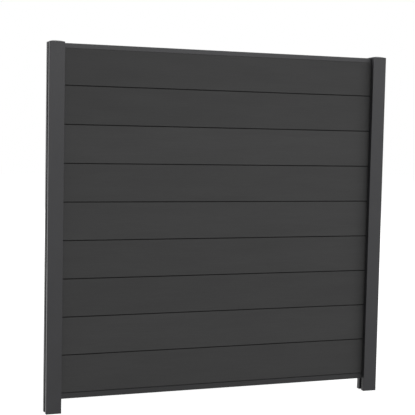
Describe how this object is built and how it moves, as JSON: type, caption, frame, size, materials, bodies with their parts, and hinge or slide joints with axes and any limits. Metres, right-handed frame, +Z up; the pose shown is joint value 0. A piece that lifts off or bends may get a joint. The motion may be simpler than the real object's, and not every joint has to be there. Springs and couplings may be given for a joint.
{
  "type": "garden privacy screen",
  "caption": "Opaque garden fence panel of stacked horizontal composite boards held in the grooves of square aluminium posts, with start rail, top rail and domed post caps.",
  "frame": {"origin": "on the ground, midway between the posts and in the middle of their depth", "axes": "+X along the fence to the right as seen from the front, -Y out of the front, +Z up"},
  "size_m": [1.935, 0.08, 1.926],
  "materials": {
    "post_coating": "matte",
    "rail_coating": "matte",
    "board_composite": "matte",
    "cap_plastic": "matte",
    "bracket_coating": "matte",
    "screw_steel": "satin",
    "seal_rubber": "matte",
    "mill_aluminium": "satin"
  },
  "bodies": {
    "root": {"post_left": "post_coating", "post_right": "post_coating", "cap_left": "cap_plastic", "cap_right": "cap_plastic", "board_1": "board_composite", "board_2": "board_composite", "board_3": "board_composite", "board_4": "board_composite", "board_5": "board_composite", "board_6": "board_composite", "board_7": "board_composite", "board_8": "board_composite", "board_9": "board_composite", "top_rail": "rail_coating", "bottom_rail": "rail_coating", "bracket_left": "bracket_coating", "bracket_right": "bracket_coating", "bracket_screws_left": "screw_steel", "bracket_screws_right": "screw_steel", "seal_left_front": "seal_rubber", "seal_left_rear": "seal_rubber", "seal_right_front": "seal_rubber", "seal_right_rear": "seal_rubber", "stiffener_lower": "mill_aluminium", "stiffener_upper": "mill_aluminium"}
  },
  "joints": []
}
